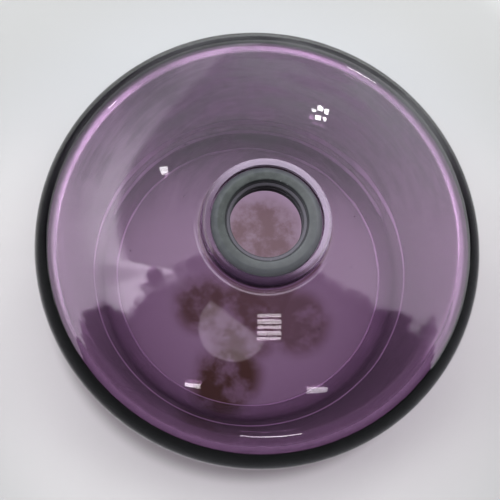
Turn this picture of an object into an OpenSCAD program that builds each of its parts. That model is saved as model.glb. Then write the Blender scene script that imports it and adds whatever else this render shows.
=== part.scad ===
// Bowl insulator of amethyst glass: a hollow bell that stands on its open, in-turned foot,
// with a short collared neck on top. A flanged bushing fills the neck and guides a round rod
// through the middle. Its flange lies on a thin gasket, in a seat sunk inside the neck's lip.
// Units are millimetres. +Z is the bore's axis, and the foot stands on z = 0.

/* [Bowl] */
// Widest diameter of the bowl
bowl_d = 114.3; // [108:0.1:122]
// Height of the widest point above the foot
belly_z = 40.8; // [39:0.2:41.6]
// Rise of the crown's apex above the widest point, before the neck is cut
dome_rise = 20.1; // [19:0.1:20.8]
// Radius of the shoulder, where the side turns over into the crown
shoulder_r = 12; // [10.5:0.5:13]
// Thickness of the glass in the crown, the shoulder and the side
wall = 5.4; // [4.8:0.1:5.8]

/* [Foot] */
// Diameter at which the side would meet the ground if it had no heel
foot_d = 91.8; // [88:0.2:96]
// Radius of the heel between the side and the foot
heel_r = 3.6; // [3.5:0.1:4.5]
// Thickness of the in-turned foot
foot_t = 2; // [1.6:0.1:2.6]
// Radius of the inside corner between the side and the foot
corner_r = 1.5; // [1:0.1:2.5]
// Diameter of the opening inside the in-turned foot
opening_d = 75.2; // [70:0.2:76]

/* [Neck] */
// Outer diameter of the collar round the neck
collar_d = 31.2; // [30.6:0.2:33]
// Height of the lip's top
lip_z = 64.8; // [64.2:0.1:66]
// Radius of the lip's outer edge
lip_round_r = 1.2; // [0.8:0.1:1.4]
// Height of the flat seat inside the lip, where the gasket lies
seat_z = 62.5; // [62.4:0.1:63.4]
// Diameter of the seat inside the lip
seat_d = 27.4; // [27.2:0.1:27.8]
// Radius of the hollow at the collar's root
root_r = 1.1; // [0.8:0.1:1.2]
// Diameter of the hole in the glass
neck_bore_d = 21.6; // [21.4:0.1:22]
// Chamfer at each end of the hole in the glass
bore_chamfer = 0.5; // [0.2:0.1:0.8]

/* [Bushing] */
// Diameter of the rod bore, measured across the lands
rod_bore_d = 17.5; // [16:0.1:18]
// Diameter of the bore's mouth
mouth_d = 20.1; // [19.6:0.1:20.6]
// Diameter of the grooves between the lands
groove_d = 19; // [18.4:0.1:19.2]
// Outer diameter of the flange
flange_d = 26.8; // [26:0.2:27]
// Diameter of the flange's flat top, inside the bevel
flat_d = 23.6; // [22.4:0.2:24.4]
// Thickness of the flange
flange_t = 2; // [1.8:0.1:2.4]
// Thickness of the flange at its rim, outside the bevel
rim_t = 0.5; // [0.4:0.1:1]
// Outer diameter of the sleeve
sleeve_d = 21.44; // [21.2:0.02:21.46]
// Length of the sleeve below the flange
sleeve_len = 3.5; // [3.3:0.1:4.5]
// Number of lands in the bore
land_count = 3; // [2:1:3]
// Width of each land
land_w = 0.8; // [0.5:0.1:0.9]
// Distance from one land to the next
land_pitch = 1.75; // [1.5:0.05:1.75]

/* [Gasket] */
// Thickness of the gasket
gasket_t = 0.5; // [0.3:0.1:0.8]
// Outer diameter of the gasket
gasket_d = 26.2; // [25:0.2:27]
// Inner diameter of the gasket
gasket_bore_d = 21.9; // [21.6:0.1:22.4]

/* [Hidden] */
$fn = 180;

// Overlap that joins or cuts shapes cleanly
slop = 0.5;

bowl_r = bowl_d / 2;
foot_r = foot_d / 2;
opening_r = opening_d / 2;
collar_r = collar_d / 2;
neck_bore_r = neck_bore_d / 2;
seat_r = seat_d / 2;

// The bowl's outline is a chain of tangent arcs: crown, shoulder, side and heel.
shoulder_x = bowl_r - shoulder_r;
crown_r = (pow(shoulder_x, 2) + pow(dome_rise, 2) - pow(shoulder_r, 2))
    / (2 * (dome_rise - shoulder_r));
crown_z = belly_z + dome_rise - crown_r;
crown_angle = atan2(belly_z - crown_z, shoulder_x);
taper = bowl_r - foot_r;
side_r = (pow(taper, 2) + pow(belly_z, 2)) / (2 * taper);
side_x = bowl_r - side_r;

// The hollow at the collar's root touches the collar and the crown.
root_x = collar_r + root_r;
root_z = crown_z + sqrt(pow(crown_r + root_r, 2) - pow(root_x, 2));
root_foot = [root_x, root_z - crown_z] * crown_r / (crown_r + root_r) + [0, crown_z];

// Height at which the crown's inner surface meets the hole in the glass
ceiling_z = crown_z + sqrt(pow(crown_r - wall, 2) - pow(neck_bore_r, 2));

// Heights of the flange's underside, the flange's top and the sleeve's lower end
flange_z = seat_z + gasket_t;
top_z = flange_z + flange_t;
sleeve_z = flange_z - sleeve_len;

// A slice of a disc between two angles, with a true arc
module pie(centre, radius, from, to) {
    reach = 1.5 * radius;
    intersection() {
        translate(centre) circle(radius);
        polygon([
            centre,
            for (a = [from, (from + to) / 2, to]) centre + reach * [cos(a), sin(a)]
        ]);
    }
}

// Half section of everything within the bowl's outer surface, moved inwards by inset. Its flat
// bottom is at floor_z, and low_r rounds the bottom into the side.
module bowl_section(inset, floor_z, low_r) {
    low_z = floor_z + low_r;
    low_x = side_x + sqrt(pow(side_r - inset - low_r, 2) - pow(belly_z - low_z, 2));
    low_angle = atan2(low_z - belly_z, low_x - side_x);
    intersection() {
        union() {
            pie([0, crown_z], crown_r - inset, crown_angle, 90);
            translate([shoulder_x, belly_z]) circle(shoulder_r - inset);
            pie([side_x, belly_z], side_r - inset, low_angle, 0);
            translate([low_x, low_z]) circle(low_r);
            polygon([[0, floor_z], [low_x, floor_z], [low_x, low_z], [0, belly_z]]);
        }
        translate([0, floor_z]) square([bowl_d, bowl_d]);
    }
}

// Half section of the collar, with its rounded lip and hollow root
module collar_section() {
    base_z = root_foot[1] - slop;
    round_x = collar_r - lip_round_r;
    round_z = lip_z - lip_round_r;
    translate([0, base_z]) square([collar_r, round_z - base_z]);
    translate([0, base_z]) square([round_x, lip_z - base_z]);
    translate([round_x, round_z]) circle(lip_round_r);
    difference() {
        polygon([[0, base_z], [root_foot[0], base_z], root_foot, [root_x, root_z], [0, root_z]]);
        translate([root_x, root_z]) circle(root_r);
    }
}

// Half section of the hole through the neck, with a chamfer at each end and the seat above it
module neck_hole_section() {
    edge_r = neck_bore_r + bore_chamfer;
    polygon([
        [0, ceiling_z - 2 * slop],
        [edge_r + 2 * slop, ceiling_z - 2 * slop],
        [neck_bore_r, ceiling_z + bore_chamfer],
        [neck_bore_r, seat_z - bore_chamfer],
        [edge_r, seat_z],
        [seat_r, seat_z],
        [seat_r, lip_z + slop],
        [0, lip_z + slop]
    ]);
}

module glass_bowl() {
    edge_x = opening_r + foot_t / 2;
    color([0.42, 0.27, 0.46, 0.6]) rotate_extrude() {
        difference() {
            union() {
                bowl_section(0, 0, heel_r);
                collar_section();
            }
            bowl_section(wall, foot_t, corner_r);
            neck_hole_section();
            translate([0, -slop]) square([edge_x, foot_t + 2 * slop]);
        }
        translate([edge_x, foot_t / 2]) circle(foot_t / 2);
    }
}

module lip_gasket() {
    color([0.13, 0.13, 0.13]) translate([0, 0, seat_z]) difference() {
        cylinder(d = gasket_d, h = gasket_t);
        translate([0, 0, -slop]) cylinder(d = gasket_bore_d, h = gasket_t + 2 * slop);
    }
}

module neck_bushing() {
    flare_z = sleeve_z + (land_count - 1) * land_pitch + land_w;
    color([0.36, 0.38, 0.39]) difference() {
        union() {
            translate([0, 0, sleeve_z]) cylinder(d = sleeve_d, h = sleeve_len + slop);
            translate([0, 0, flange_z]) cylinder(d = flange_d, h = rim_t);
            translate([0, 0, flange_z + rim_t])
                cylinder(d1 = flange_d, d2 = flat_d, h = flange_t - rim_t);
        }
        translate([0, 0, sleeve_z - slop]) cylinder(d = rod_bore_d, h = top_z - sleeve_z + 2 * slop);
        for (i = [1 : land_count - 1])
            translate([0, 0, sleeve_z + (i - 1) * land_pitch + land_w])
                cylinder(d = groove_d, h = land_pitch - land_w);
        translate([0, 0, flare_z]) cylinder(d1 = groove_d, d2 = mouth_d, h = top_z - flare_z);
    }
}

glass_bowl();
lip_gasket();
neck_bushing();
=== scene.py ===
"""Looks for the bowl insulator: amethyst glass, its neck bushing and gasket, on a pale studio floor.

Lengths are in metres, in the CAD frame: +Z is the bore's axis and the foot stands on z = 0.
"""
import math
import random

import bmesh
import bpy
from mathutils import Matrix, Vector


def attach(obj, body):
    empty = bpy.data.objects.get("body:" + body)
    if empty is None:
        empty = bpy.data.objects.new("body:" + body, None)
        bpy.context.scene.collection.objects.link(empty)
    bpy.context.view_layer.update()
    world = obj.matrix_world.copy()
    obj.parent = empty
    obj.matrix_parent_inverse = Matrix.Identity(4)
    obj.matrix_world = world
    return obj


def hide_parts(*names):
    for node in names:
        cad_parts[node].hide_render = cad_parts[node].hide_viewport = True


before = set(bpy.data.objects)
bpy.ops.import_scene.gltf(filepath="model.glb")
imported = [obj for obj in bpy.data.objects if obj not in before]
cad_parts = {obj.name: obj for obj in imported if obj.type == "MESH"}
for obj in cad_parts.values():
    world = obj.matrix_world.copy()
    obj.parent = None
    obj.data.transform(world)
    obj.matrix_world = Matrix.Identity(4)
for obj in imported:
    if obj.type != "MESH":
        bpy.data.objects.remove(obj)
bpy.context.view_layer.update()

MM = 0.001
QUARTER = math.pi / 2

# The bowl's driving sizes, as in the CAD source.
BOWL_R = 57.15 * MM
BELLY_Z = 40.8 * MM
DOME_RISE = 20.1 * MM
SHOULDER_R = 12 * MM
WALL = 5.4 * MM
FOOT_R = 45.9 * MM
HEEL_R = 3.6 * MM
FOOT_T = 2 * MM
CORNER_R = 1.5 * MM
OPENING_R = 37.6 * MM
COLLAR_R = 15.6 * MM
LIP_Z = 64.8 * MM
LIP_ROUND_R = 1.2 * MM
SEAT_Z = 62.5 * MM
SEAT_R = 13.7 * MM
ROOT_R = 1.1 * MM
NECK_BORE_R = 10.8 * MM
BORE_CHAMFER = 0.5 * MM

# The crown's radius, and the height of its centre.
SHOULDER_X = BOWL_R - SHOULDER_R
CROWN_R = (SHOULDER_X**2 + DOME_RISE**2 - SHOULDER_R**2) / (2 * (DOME_RISE - SHOULDER_R))
CROWN_Z = BELLY_Z + DOME_RISE - CROWN_R

# The bushing's driving sizes.
TOP_Z = 65 * MM
FLANGE_Z = 63 * MM
SLEEVE_Z = 59.5 * MM
SLEEVE_R = 10.72 * MM
FLANGE_R = 13.4 * MM
FLAT_R = 11.8 * MM
RIM_T = 0.5 * MM
ROD_BORE_R = 8.75 * MM
GROOVE_R = 9.5 * MM
MOUTH_R = 10.05 * MM
LAND_W = 0.8 * MM
LAND_PITCH = 1.75 * MM
THREAD = 0.45 * MM

# The camera looks down on the neck from a little off the bore's axis, and is rolled.
VIEW_TILT = math.radians(13.5)
VIEW_ROLL = math.radians(17.5)
VIEW_DISTANCE = 286 * MM
VIEW_SHIFT = (-2.4 * MM, -1.7 * MM)
LENS_MM = 80
SENSOR_MM = 36

# Brightness beside a white surface at 1.
SKY_DARK = 0.28
SKY_BRIGHT = 1.75
WINDOW = 1.6
CARD = 1.5

# The floor's stain, spot by spot: millimetres to the picture's right and top, radius and depth.
STAIN = (
    (4, 11, 12, 0.6),
    (-13, -9, 8, 0.85),
    (4, -6, 10, 0.7),
    (14, -14, 9, 0.65),
    (-2, -14, 11, 0.8),
    (-6, -29, 9, 1.0),
    (-8, -33, 8, 1.0),
)

# The cluster of small lamps high in the picture: place to the right and top of its middle, and width.
CLUSTER = (
    (-0.024, 0.010, 0.016),
    (0.0, 0.016, 0.020),
    (0.024, 0.004, 0.018),
    (-0.008, -0.016, 0.024),
    (0.018, -0.022, 0.012),
)


def camera():
    """A camera VIEW_TILT off the bore's axis, rolled so that the axis leans right in the picture."""
    outward = Vector((0, -math.sin(VIEW_TILT), math.cos(VIEW_TILT)))
    right = Vector((1, 0, 0))
    up = outward.cross(right)
    turned_right = right * math.cos(VIEW_ROLL) + up * math.sin(VIEW_ROLL)
    turned_up = up * math.cos(VIEW_ROLL) - right * math.sin(VIEW_ROLL)
    target = Vector((0, 0, BELLY_Z)) + turned_right * VIEW_SHIFT[0] + turned_up * VIEW_SHIFT[1]
    basis = Matrix((turned_right, turned_up, outward)).transposed().to_4x4()
    data = bpy.data.cameras.new("camera")
    data.lens = LENS_MM
    data.sensor_width = SENSOR_MM
    data.clip_start = 10 * MM
    cam = bpy.data.objects.new("camera", data)
    cam.matrix_world = Matrix.Translation(target + outward * VIEW_DISTANCE) @ basis
    bpy.context.scene.collection.objects.link(cam)
    bpy.context.scene.camera = cam


def arc(centre, radius, start, end, steps):
    """Points along an arc, from one angle to another."""
    angles = [start + (end - start) * i / steps for i in range(steps + 1)]
    return [(centre[0] + radius * math.cos(a), centre[1] + radius * math.sin(a)) for a in angles]


def ripple(points, depth):
    """The same points with faint rings pressed into them, fading out at both ends."""
    waved = []
    for i, (x, z) in enumerate(points):
        ends = math.sin(math.pi * i / (len(points) - 1)) ** 0.5
        wave = math.sin(x / (0.47 * MM)) + 0.9 * math.sin(x / (0.83 * MM) + 1)
        waved.append((x, z + depth * ends * wave))
    return waved


def crisp(points, gap):
    """The inner corners of a line, each with a point close by on both sides, so that the faces between them
    shade flat."""
    made = []
    for before, here, after in zip(points, points[1:], points[2:]):
        for other in (before, here, after):
            share = gap / math.dist(here, other) if other is not here else 0
            made.append((here[0] + (other[0] - here[0]) * share, here[1] + (other[1] - here[1]) * share))
    return made


def bowl_outline():
    """The glass's half section: the inside from neck to foot, round the foot's edge, up the outside, over the
    lip and down through the seat and the neck."""
    crown_a = math.atan2(BELLY_Z - CROWN_Z, SHOULDER_X)
    taper = BOWL_R - FOOT_R
    side_r = (taper**2 + BELLY_Z**2) / (2 * taper)
    side_x = BOWL_R - side_r
    heel_x = side_x + math.sqrt((side_r - HEEL_R) ** 2 - (BELLY_Z - HEEL_R) ** 2)
    heel_a = math.atan2(HEEL_R - BELLY_Z, heel_x - side_x)
    corner_x = side_x + math.sqrt((side_r - WALL - CORNER_R) ** 2 - (BELLY_Z - FOOT_T - CORNER_R) ** 2)
    corner_a = math.atan2(FOOT_T + CORNER_R - BELLY_Z, corner_x - side_x)
    root_x = COLLAR_R + ROOT_R
    root_z = CROWN_Z + math.sqrt((CROWN_R + ROOT_R) ** 2 - root_x**2)
    root_a = math.atan2(root_z - CROWN_Z, root_x)
    ceiling_a = math.acos(NECK_BORE_R / (CROWN_R - WALL))
    outline = []
    outline += ripple(arc((0, CROWN_Z), CROWN_R - WALL, ceiling_a, crown_a, 160), 0.0015 * MM)
    outline += arc((SHOULDER_X, BELLY_Z), SHOULDER_R - WALL, crown_a, 0, 32)[1:]
    outline += arc((side_x, BELLY_Z), side_r - WALL, 0, corner_a, 40)[1:]
    outline += arc((corner_x, FOOT_T + CORNER_R), CORNER_R, corner_a, -QUARTER, 10)[1:]
    outline += arc((OPENING_R + FOOT_T / 2, FOOT_T / 2), FOOT_T / 2, QUARTER, 3 * QUARTER, 20)
    outline += arc((heel_x, HEEL_R), HEEL_R, -QUARTER, heel_a, 20)
    outline += arc((side_x, BELLY_Z), side_r, heel_a, 0, 40)[1:]
    outline += arc((SHOULDER_X, BELLY_Z), SHOULDER_R, 0, crown_a, 32)[1:]
    outline += ripple(arc((0, CROWN_Z), CROWN_R, crown_a, root_a, 160), 0.0008 * MM)[1:]
    outline += arc((root_x, root_z), ROOT_R, root_a - math.pi, -math.pi, 12)[1:]
    outline += arc((COLLAR_R - LIP_ROUND_R, LIP_Z - LIP_ROUND_R), LIP_ROUND_R, 0, QUARTER, 16)
    corners = [(SEAT_R, LIP_Z), (SEAT_R, SEAT_Z)]
    corners += [(NECK_BORE_R + BORE_CHAMFER, SEAT_Z), (NECK_BORE_R, SEAT_Z - BORE_CHAMFER)]
    corners += [(NECK_BORE_R, outline[0][1] + BORE_CHAMFER)]
    return outline + crisp([outline[-1]] + corners + [outline[0]], 0.06 * MM)


def seed(centre, length, width, turn):
    """A bubble in the glass: a small stretched ball whose faces look inwards."""
    ball = bmesh.new()
    bmesh.ops.create_icosphere(ball, subdivisions=2, radius=0.5)
    stretch = Matrix.Diagonal((length, width, width, 1))
    shape = Matrix.Translation(centre) @ Matrix.Rotation(turn, 4, "Z") @ stretch
    verts = [shape @ v.co for v in ball.verts]
    faces = [tuple(v.index for v in reversed(f.verts)) for f in ball.faces]
    ball.free()
    return verts, faces


def bowl_seeds():
    """One long bubble high on the crown, and a scatter of small ones through the wall."""
    dice = random.Random(7)
    found = [(Vector((-19.8, 32.7, 53.2)) * MM, 1.5 * MM, 0.7 * MM, math.radians(45))]
    for _ in range(26):
        a, r = dice.uniform(0, 2 * math.pi), dice.uniform(20, 44) * MM
        z = CROWN_Z + math.sqrt((CROWN_R - WALL * dice.uniform(0.3, 0.7)) ** 2 - r * r)
        size = dice.uniform(0.12, 0.4) * MM
        centre = Vector((r * math.cos(a), r * math.sin(a), z))
        found.append((centre, size * dice.uniform(1, 2), size, a + QUARTER))
    return found


def lathe(name, outline, steps=256, seeds=()):
    """A closed ring turned from an outline of (radius, height) points, with bubbles inside it."""
    turns = [2 * math.pi * k / steps for k in range(steps)]
    verts = [(x * math.cos(t), x * math.sin(t), z) for t in turns for x, z in outline]
    n = len(outline)
    faces = []
    for k in range(steps):
        here, there = k * n, (k + 1) % steps * n
        for i in range(n):
            j = (i + 1) % n
            faces.append((here + i, there + i, there + j, here + j))
    for at in seeds:
        first = len(verts)
        more, rings = seed(*at)
        verts += [tuple(v) for v in more]
        faces += [tuple(first + i for i in ring) for ring in rings]
    mesh = bpy.data.meshes.new(name)
    mesh.from_pydata(verts, [], faces)
    mesh.polygons.foreach_set("use_smooth", [True] * len(faces))
    piece = bpy.data.objects.new(name, mesh)
    bpy.context.scene.collection.objects.link(piece)
    return piece


class Graph:
    """A node tree, emptied and ready to build."""

    def __init__(self, owner, output):
        owner.use_nodes = True
        self.owner = owner
        self.tree = owner.node_tree
        self.tree.nodes.clear()
        self.output = self.tree.nodes.new(output)

    def node(self, kind, settings=None, **values):
        """A new node. settings are its attributes, and values its input sockets, with _ for a space."""
        made = self.tree.nodes.new("ShaderNode" + kind)
        for key, value in (settings or {}).items():
            setattr(made, key, value)
        for key, value in values.items():
            self.put(made.inputs[key.replace("_", " ")], value)
        return made

    def put(self, socket, value):
        if isinstance(value, bpy.types.NodeSocket):
            self.tree.links.new(value, socket)
        else:
            socket.default_value = value

    def math(self, operation, *terms):
        """One arithmetic step on numbers or sockets."""
        made = self.node("Math", {"operation": operation})
        for socket, term in zip(made.inputs, terms):
            self.put(socket, term)
        return made.outputs[0]

    def over(self, share, below, above):
        """One shader laid over another, by its share."""
        made = self.node("MixShader", Fac=share)
        self.put(made.inputs[1], below.outputs[0])
        self.put(made.inputs[2], above.outputs[0])
        return made

    def distance(self, right, up):
        """The length of the two steps taken together."""
        squares = [self.math("POWER", self.math("ABSOLUTE", step), 2.0) for step in (right, up)]
        return self.math("SQRT", self.math("ADD", *squares))

    def ramp(self, value, low, high, bottom=0.0, top=1.0):
        """The value carried smoothly from bottom at low to top at high."""
        made = self.node("MapRange", {"interpolation_type": "SMOOTHSTEP"})
        for socket, term in zip(made.inputs, (value, low, high, bottom, top)):
            self.put(socket, term)
        return made.outputs[0]


def new_material(name):
    return Graph(bpy.data.materials.new(name), "ShaderNodeOutputMaterial")


def toward(g, way, angle):
    """How far a point or a direction lies to one side, at an angle in degrees from the picture's right."""
    made = g.node("VectorMath", {"operation": "DOT_PRODUCT"})
    g.put(made.inputs[0], way)
    turn = VIEW_ROLL + math.radians(angle)
    made.inputs[1].default_value = (math.cos(turn), math.sin(turn), 0)
    return made.outputs["Value"]


def round_spot(g, right, up, centre, radius, soft):
    """1 inside a disc in the picture's two directions, and 0 outside it."""
    out = g.distance(g.math("SUBTRACT", right, centre[0]), g.math("SUBTRACT", up, centre[1]))
    return g.ramp(out, radius + soft, radius - soft)


def mixed(g, share, first, second, most=1.0):
    """The first colour carried to the second by share, and no further than most."""
    made = g.node("Mix", {"data_type": "RGBA"})
    made.inputs[0].default_value = 0
    g.put(made.inputs[0], share if most == 1.0 else g.math("MULTIPLY", share, most))
    g.put(made.inputs[6], first)
    g.put(made.inputs[7], second)
    return made.outputs[2]


def painted_highlight_lines(g, place, height, radius):
    """Painted highlight lines on the glass: round the foot's opening, inside the wall and at the collar's
    root.
    """
    side = toward(g, place, 90)
    near_collar = toward(g, place, -105)
    under_foot = g.ramp(height, 2.3 * MM, 1.9 * MM)
    in_wall = g.ramp(radius, 46.5 * MM, 46 * MM)
    far_wall = g.math("MULTIPLY", in_wall, g.ramp(side, 8 * MM, 30 * MM))
    near_root = g.ramp(near_collar, 0, 15 * MM, 0.0, 0.4)
    near_root = g.math("MULTIPLY", g.ramp(height, 54 * MM, 56 * MM), near_root)
    most = g.ramp(side, -10 * MM, 20 * MM, 0.4, 0.8)
    rings = (
        (under_foot, radius, OPENING_R + 0.15 * MM, 0.35 * MM),
        (in_wall, height, 7.6 * MM, g.ramp(side, 0, 35 * MM, 0.5 * MM, 1.4 * MM)),
        (far_wall, height, 4.3 * MM, 0.9 * MM),
        (near_root, radius, 17.0 * MM, 0.35 * MM),
    )
    # Each ring is a painted highlight line, brighter towards the picture's top.
    highlit = 0.0
    for within, value, ring, half in rings:
        apart = g.math("ABSOLUTE", g.math("SUBTRACT", value, ring))
        line = g.ramp(apart, half, g.math("MULTIPLY", half, 0.3), 0.0, most)
        highlit = g.math("MAXIMUM", highlit, g.math("MULTIPLY", within, line))
    return highlit


def grey_film(g, place, axes, radius):
    """How thickly a smoky grey film lies on the crown's outside: on the picture's upper side, in clouds and
    streaks that follow the crown round."""
    cloud = g.node("TexNoise", Vector=place, Scale=55.0, Detail=3.0, Roughness=0.55).outputs["Fac"]
    swirl = g.node("CombineXYZ", X=g.math("MULTIPLY", radius, 380.0))
    g.put(swirl.inputs[1], g.math("MULTIPLY", g.math("DIVIDE", axes["X"], radius), 2.2))
    g.put(swirl.inputs[2], g.math("MULTIPLY", g.math("DIVIDE", axes["Y"], radius), 2.2))
    streak = g.node("TexNoise", Vector=swirl.outputs[0], Scale=1.0, Detail=3.0).outputs["Fac"]
    smoke = g.math("ADD", g.math("MULTIPLY", cloud, 0.5), g.math("MULTIPLY", streak, 0.5))
    far_side = g.ramp(toward(g, place, 90), -6 * MM, 28 * MM)
    middle = g.node("VectorMath", {"operation": "DISTANCE"})
    g.put(middle.inputs[0], place)
    middle.inputs[1].default_value = (0, 0, CROWN_Z)
    outside = g.ramp(middle.outputs["Value"], CROWN_R - 2 * MM, CROWN_R - 0.8 * MM)
    off_rim = g.ramp(radius, 56.5 * MM, 54 * MM)
    share = g.math("MULTIPLY", far_side, g.ramp(smoke, 0.35, 0.65, 0.22, 0.6))
    return g.math("MULTIPLY", g.math("MULTIPLY", share, outside), off_rim)


def amethyst_glass():
    """Clear purple glass with a ground lip, its frost lighter towards the upper right by painted light, a dark
    grey film on its far side, painted shade on the near lip and painted highlight lines. It bends what is seen
    through it, and lets lamp and floor light straight through."""
    g = new_material("amethyst_glass")
    place = g.node("TexCoord").outputs["Object"]
    axes = g.node("SeparateXYZ", Vector=place).outputs
    height = axes["Z"]
    radius = g.distance(axes["X"], axes["Y"])
    on_lip = g.ramp(height, LIP_Z - 1.7 * MM, LIP_Z - 0.9 * MM)
    # The lip's frost is real; its share rising towards the upper right is painted light.
    frost_and_painted_light = g.math("MULTIPLY", on_lip, g.ramp(toward(g, place, 45), -9 * MM, 7 * MM, 0.03, 0.30))
    # Painted shade: the collar and lip darker on the near, lower side.
    on_collar = g.ramp(height, LIP_Z - 3.2 * MM, LIP_Z - 2.6 * MM)
    lip_shade = g.math("MULTIPLY", on_collar, g.ramp(toward(g, place, -100), 9 * MM, 14 * MM, 0.0, 0.85))
    # Painted light: the film's tone is lighter towards the upper right.
    painted_light_side = g.ramp(toward(g, place, 60), 18 * MM, 46 * MM)
    film_tone = mixed(g, painted_light_side, (0.075, 0.072, 0.078, 1), (0.14, 0.14, 0.145, 1))
    # Laid over the glass: a dark grey film, the frost with painted light, painted shade on the near lip and
    # painted highlight lines.
    films = (
        (grey_film(g, place, axes, radius), film_tone),
        (frost_and_painted_light, (0.66, 0.58, 0.70, 1)),
        (lip_shade, (0.055, 0.035, 0.06, 1)),
        (painted_highlight_lines(g, place, height, radius), (0.92, 0.86, 0.94, 1)),
    )
    skin = g.node("BsdfGlass", Color=(1, 1, 1, 1), Roughness=0.0, IOR=1.5)
    for share, tone in films:
        skin = g.over(share, skin, g.node("BsdfDiffuse", Color=tone))
    clear = g.node("BsdfTransparent", Color=(0.92, 0.92, 0.92, 1))
    path = g.node("LightPath").outputs
    skin = g.over(g.math("MAXIMUM", path["Is Shadow Ray"], path["Is Diffuse Ray"]), skin, clear)
    g.put(g.output.inputs["Surface"], skin.outputs[0])
    depth = g.node("VolumeAbsorption", Color=(0.31, 0.042, 0.32, 1), Density=150.0)
    g.put(g.output.inputs["Volume"], depth.outputs[0])
    return g.owner


def floor_stain(g, right, up, place):
    """How deep the mottled stain inside the bowl's opening is."""
    blot = g.node("TexNoise", Vector=place, Scale=95.0, Detail=5.0, Roughness=0.6).outputs["Fac"]
    stain = 0.0
    for x, y, r, depth in STAIN:
        spot = round_spot(g, right, up, (x * MM, y * MM), r * MM, 3 * MM)
        stain = g.math("MAXIMUM", stain, g.math("MULTIPLY", spot, depth))
    return g.math("MULTIPLY", stain, g.ramp(blot, 0.36, 0.56, 0.4, 1.0))


def pale_paper():
    """A pale matt sheet with a rust-brown stain inside the bowl's opening. Painted shade darkens it towards
    the picture's top and from 70 to 105 mm out, painted light makes it lighter beyond 112 mm, and a painted
    shadow darkens it near the foot on the shaded side. Mirrored in the glass the far sheet is painted darker,
    which keeps the rim dark. Seen through the glass it has painted light at the picture's top and painted
    shade at the bottom, for the pale band inside the rim."""
    g = new_material("floor_paper")
    place = g.node("TexCoord").outputs["Object"]
    right, up = toward(g, place, 0), toward(g, place, 90)
    out = g.distance(right, up)
    grain = g.node("TexNoise", Vector=place, Scale=30.0, Detail=5.0).outputs["Fac"]
    tone = mixed(g, grain, (0.495, 0.49, 0.485, 1), (0.525, 0.52, 0.515, 1))
    # Painted shade: darker towards the picture's top, and from 70 to 105 mm out, evening out the light.
    tone = mixed(g, g.ramp(up, 10 * MM, 70 * MM), tone, (0.415, 0.42, 0.425, 1))
    tone = mixed(g, g.ramp(out, 70 * MM, 105 * MM), tone, (0.385, 0.385, 0.38, 1))
    # Painted shadow: a darker ring round the foot on the near, shaded side.
    ring = g.math("MULTIPLY", g.ramp(out, 42 * MM, 45 * MM), g.ramp(out, 61 * MM, 56 * MM))
    tone = mixed(g, g.math("MULTIPLY", ring, g.ramp(up, 0, -32 * MM)), tone, (0.30, 0.29, 0.29, 1))
    # Painted light: the sheet lighter beyond 112 mm out.
    tone = mixed(g, g.ramp(out, 112 * MM, 150 * MM), tone, (0.78, 0.80, 0.78, 1))
    tone = mixed(g, floor_stain(g, right, up, place), tone, (0.17, 0.12, 0.07, 1))
    path = g.node("LightPath").outputs
    # Painted shade in reflections: mirrored in the glass, the far sheet is darker, darkest towards the
    # picture's top.
    mirrored = g.math("SUBTRACT", path["Is Reflection Ray"], path["Is Diffuse Ray"])
    mirrored = g.math("MULTIPLY", mirrored, g.ramp(g.math("MULTIPLY_ADD", up, -0.42, out), 88 * MM, 122 * MM))
    painted_mirror_shade = mixed(g, g.ramp(up, 30 * MM, 120 * MM), (0.27, 0.27, 0.28, 1), (0.10, 0.09, 0.11, 1))
    tone = mixed(g, mirrored, tone, painted_mirror_shade)
    # Painted light and shade seen through the glass: the far sheet brighter than white at the picture's top
    # and darker at the bottom.
    beyond = g.math("MULTIPLY", path["Is Transmission Ray"], g.ramp(out, 95 * MM, 125 * MM))
    tone = mixed(g, g.math("MULTIPLY", beyond, g.ramp(up, 30 * MM, 120 * MM)), tone, (1.5, 1.55, 1.5, 1))
    tone = mixed(g, g.math("MULTIPLY", beyond, g.ramp(up, -20 * MM, -60 * MM)), tone, (0.45, 0.44, 0.45, 1))
    b = g.node("BsdfDiffuse", Color=tone)
    g.put(g.output.inputs["Surface"], b.outputs[0])
    return g.owner


def bushing_outline():
    """The bushing's half section: a bevelled flange and a sleeve, with fine rings down the bore."""
    flare_z = SLEEVE_Z + 2 * LAND_PITCH + LAND_W
    soft = 0.12 * MM
    outline = [(ROD_BORE_R, SLEEVE_Z), (SLEEVE_R, SLEEVE_Z), (SLEEVE_R, FLANGE_Z)]
    outline += [(FLANGE_R - soft, FLANGE_Z), (FLANGE_R, FLANGE_Z + soft), (FLANGE_R, FLANGE_Z + RIM_T - soft)]
    outline += [(FLANGE_R - soft, FLANGE_Z + RIM_T), (FLAT_R + 2 * soft, TOP_Z - soft)]
    outline += [(FLAT_R - soft, TOP_Z), (MOUTH_R + 2 * soft, TOP_Z)]
    steps = 60
    for i in range(steps + 1):
        z = TOP_Z - soft - (TOP_Z - soft - SLEEVE_Z) * i / steps
        below = (z - SLEEVE_Z) % LAND_PITCH
        if z > flare_z:
            r = GROOVE_R + (MOUTH_R - GROOVE_R) * (z - flare_z) / (TOP_Z - flare_z)
        else:
            r = ROD_BORE_R if below < LAND_W else GROOVE_R
        thread = (z - SLEEVE_Z) / THREAD % 1
        outline.append((r + 0.09 * MM * (1 - abs(2 * thread - 1)) * (r > ROD_BORE_R), z))
    return outline


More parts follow.
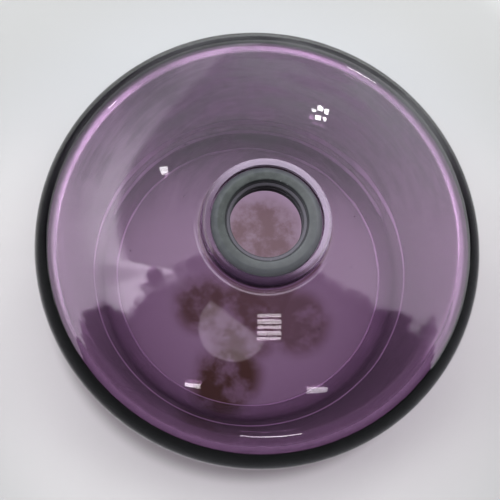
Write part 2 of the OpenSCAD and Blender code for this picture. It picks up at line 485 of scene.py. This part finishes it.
def weathered_rubber():
    """Hard rubber gone grey-green, bluer on the bevel and lighter by painted light on its near right side,
    with painted shade down the bore, painted highlights on the thread crests and pale specks round the mouth."""
    g = new_material("bushing_ebonite")
    place = g.node("TexCoord").outputs["Object"]
    axes = g.node("SeparateXYZ", Vector=place).outputs
    radius = g.distance(axes["X"], axes["Y"])
    cloud = g.node("TexNoise", Vector=place, Scale=420.0, Detail=6.0, Roughness=0.6).outputs["Fac"]
    grain = g.node("TexNoise", Vector=place, Scale=2600.0, Detail=3.0).outputs["Fac"]
    ragged = g.math("MULTIPLY_ADD", cloud, 0.5 * MM, radius)
    bevel = g.ramp(ragged, FLAT_R + 0.05 * MM, FLAT_R + 0.4 * MM)
    base = mixed(g, bevel, (0.058, 0.063, 0.062, 1), (0.070, 0.074, 0.080, 1))
    base = mixed(g, g.ramp(cloud, 0.35, 0.7), base, (0.12, 0.13, 0.125, 1), 0.35)
    # Painted light: the rubber is lighter on its near right side.
    painted_lit_side = g.ramp(toward(g, place, -45), -13 * MM, 13 * MM)
    base = mixed(g, painted_lit_side, base, (0.14, 0.14, 0.15, 1), 0.55)
    # Painted shade: the mouth's edge and the bore are darkened.
    mouth = g.ramp(radius, MOUTH_R + 0.1 * MM, MOUTH_R - 0.2 * MM)
    base = mixed(g, mouth, base, (0.030, 0.030, 0.034, 1), 0.75)
    # Painted highlights: pale lines on the thread crests in the bore.
    turns = g.math("DIVIDE", g.math("SUBTRACT", axes["Z"], SLEEVE_Z), THREAD)
    crest = g.math("ABSOLUTE", g.math("SUBTRACT", g.math("FRACT", turns), 0.5))
    in_bore = g.ramp(radius, MOUTH_R - 0.1 * MM, MOUTH_R - 0.3 * MM)
    crest = g.math("MULTIPLY", g.ramp(crest, 0.16, 0.06), in_bore)
    base = mixed(g, crest, base, (0.14, 0.13, 0.15, 1), 0.8)
    near_mouth = g.ramp(radius, MOUTH_R + 0.9 * MM, MOUTH_R - 0.1 * MM)
    speck = g.math("MULTIPLY", g.ramp(grain, 0.70, 0.76), near_mouth)
    base = mixed(g, speck, base, (0.62, 0.60, 0.62, 1))
    bump = g.node("Bump", Height=cloud, Distance=0.05 * MM, Strength=0.5)
    b = g.node("BsdfPrincipled", Base_Color=base, Roughness=0.6, Normal=bump.outputs[0])
    b.inputs["Specular IOR Level"].default_value = 0.25
    g.put(g.output.inputs["Surface"], b.outputs[0])
    return g.owner


def gasket_rubber():
    """Black sheet rubber, dusty in patches."""
    g = new_material("gasket_rubber")
    place = g.node("TexCoord").outputs["Object"]
    cloud = g.node("TexNoise", Vector=place, Scale=900.0, Detail=5.0).outputs["Fac"]
    base = mixed(g, g.ramp(cloud, 0.45, 0.75), (0.018, 0.017, 0.018, 1), (0.07, 0.066, 0.068, 1))
    b = g.node("BsdfPrincipled", Base_Color=base, Roughness=0.65)
    g.put(g.output.inputs["Surface"], b.outputs[0])
    return g.owner


def floor():
    """A pale sheet under the insulator."""
    half, drop = 1.5, -0.1 * MM
    mesh = bpy.data.meshes.new("floor")
    corners = [(-half, -half, drop), (half, -half, drop), (half, half, drop), (-half, half, drop)]
    mesh.from_pydata(corners, [], [(0, 1, 2, 3)])
    sheet = bpy.data.objects.new("floor", mesh)
    bpy.context.scene.collection.objects.link(sheet)
    mesh.materials.append(pale_paper())


def soft_box(name, across, upward, width, height, radiance):
    """A rectangular area light 1 m off that faces the insulator, placed by how far it lies to the picture's
    right and top. radiance is its brightness beside a white surface at 1."""
    data = bpy.data.lights.new(name, "AREA")
    data.shape = "RECTANGLE"
    data.size = width
    data.size_y = height
    data.energy = radiance * width * height * math.pi
    lamp = bpy.data.objects.new(name, data)
    right = Vector((math.cos(VIEW_ROLL), math.sin(VIEW_ROLL), 0))
    way = right * across + Vector((-right.y, right.x, 0)) * upward
    way.z = math.sqrt(1 - across**2 - upward**2)
    level = (right - way * right.dot(way)).normalized()
    turn = Matrix((level, way.cross(level), way)).transposed().to_4x4()
    lamp.matrix_world = Matrix.Translation(Vector((0, 0, BELLY_Z)) + way) @ turn
    bpy.context.scene.collection.objects.link(lamp)


def window_light(g, across, upward, height):
    """A bright bowed window on the picture's left, brightest at its edge and with a notch in it."""
    bow = g.math("POWER", g.math("ABSOLUTE", g.math("SUBTRACT", upward, 0.236)), 2.0)
    edge = g.math("MULTIPLY_ADD", bow, -1.1, across)
    from_notch = g.math("ABSOLUTE", g.math("SUBTRACT", upward, 0.05))
    edge = g.math("SUBTRACT", edge, g.ramp(from_notch, 0.06, 0.0, 0.0, 0.16))
    lit = g.ramp(edge, -0.49, -0.53, 0.0, WINDOW * 1.9)
    faded = g.ramp(edge, -0.56, -0.68, 0.0, -WINDOW * 0.9)
    return g.math("MULTIPLY", g.math("ADD", lit, faded), g.ramp(height, 0.15, 0.3))


def pale_card(g, way, across, upward, height):
    """A half-round card overhead, straight across on its upper left."""
    half = g.ramp(toward(g, way, 54), -0.145, -0.165)
    disc = round_spot(g, across, upward, (-0.055, -0.19), 0.145, 0.006)
    return g.math("MULTIPLY", g.math("MULTIPLY", half, g.ramp(height, 0.5, 0.6)), disc)


def studio_sky():
    """An open sky over the picture's upper half, brighter at both sides, with a dark skyline across the
    zenith below it."""
    world = bpy.data.worlds.new("studio")
    g = Graph(world, "ShaderNodeOutputWorld")
    way = g.node("TexCoord").outputs["Generated"]
    across, upward = toward(g, way, 0), toward(g, way, 90)
    height = g.node("SeparateXYZ", Vector=way).outputs["Z"]
    rough = g.node("TexNoise", Vector=way, Scale=5.0, Detail=4.0).outputs["Fac"]
    skyline = g.math("SUBTRACT", 0.10, g.math("MULTIPLY", 0.6, g.math("MULTIPLY", across, across)))
    skyline = g.math("ADD", skyline, g.math("MULTIPLY_ADD", rough, 0.5, -0.25))
    open_sky = g.ramp(g.math("SUBTRACT", upward, skyline), -0.02, 0.04)
    right_side = g.ramp(across, 0.2, 0.7, 0.0, 0.8)
    bright = g.math("ADD", g.math("ADD", SKY_BRIGHT, right_side), window_light(g, across, upward, height))
    far = g.ramp(upward, 0.35, 0.85, 1.0, 0.45)
    glow = g.math("MULTIPLY", g.ramp(height, 0.16, 0.06, 0.0, 0.6), g.ramp(upward, 0.3, 0.7))
    bright = g.math("MULTIPLY_ADD", bright, far, glow)
    dark = g.ramp(height, 0.15, 0.4, SKY_DARK * 0.5, SKY_DARK)
    level = g.math("MULTIPLY_ADD", open_sky, g.math("SUBTRACT", bright, dark), dark)
    level = g.math("MULTIPLY_ADD", pale_card(g, way, across, upward, height), CARD, level)
    sky = g.node("Background", Color=(0.97, 0.98, 1, 1), Strength=level)
    g.put(g.output.inputs["Surface"], sky.outputs[0])
    bpy.context.scene.world = world


def studio_lamps():
    """Small soft boxes that show as highlights in the glass, and a stack of slats."""
    for x, y, width in CLUSTER:
        soft_box("lamp_high", 0.30 + x, 0.69 + y, width, 0.02, 38)
    soft_box("lamp_mid_left", -0.336, 0.472, 0.03, 0.035, 14)
    soft_box("lamp_low", 0.446, 0.82, 0.12, 0.035, 25)
    soft_box("lamp_left", -0.534, 0.749, 0.05, 0.03, 30)
    soft_box("lamp_near_left", -0.23, -0.444, 0.07, 0.02, 9)
    soft_box("lamp_near_right", 0.30, -0.454, 0.09, 0.022, 6)
    soft_box("lamp_low_arc", 0.105, -0.70, 0.28, 0.04, 10)
    for i in range(5):
        soft_box(f"slat_{i}", 0.097, -0.163 - 0.024 * i, 0.105, 0.017, 6)


camera()
bowl = lathe("bowl_glass", bowl_outline(), seeds=bowl_seeds())
bowl.data.materials.append(amethyst_glass())
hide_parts("glass_bowl")
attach(bowl, "bowl")

bushing = lathe("bushing_body", bushing_outline())
bushing.data.materials.append(weathered_rubber())
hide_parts("neck_bushing")
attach(bushing, "bushing")

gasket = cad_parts["lip_gasket"]
gasket.data.materials.clear()
gasket.data.materials.append(gasket_rubber())

floor()
studio_sky()
studio_lamps()
bpy.context.scene.cycles.transmission_bounces = 24
bpy.context.scene.cycles.max_bounces = 28
bpy.context.scene.cycles.transparent_max_bounces = 32
bpy.context.scene.view_settings.view_transform = "Standard"
bpy.context.scene.view_settings.look = "High Contrast"
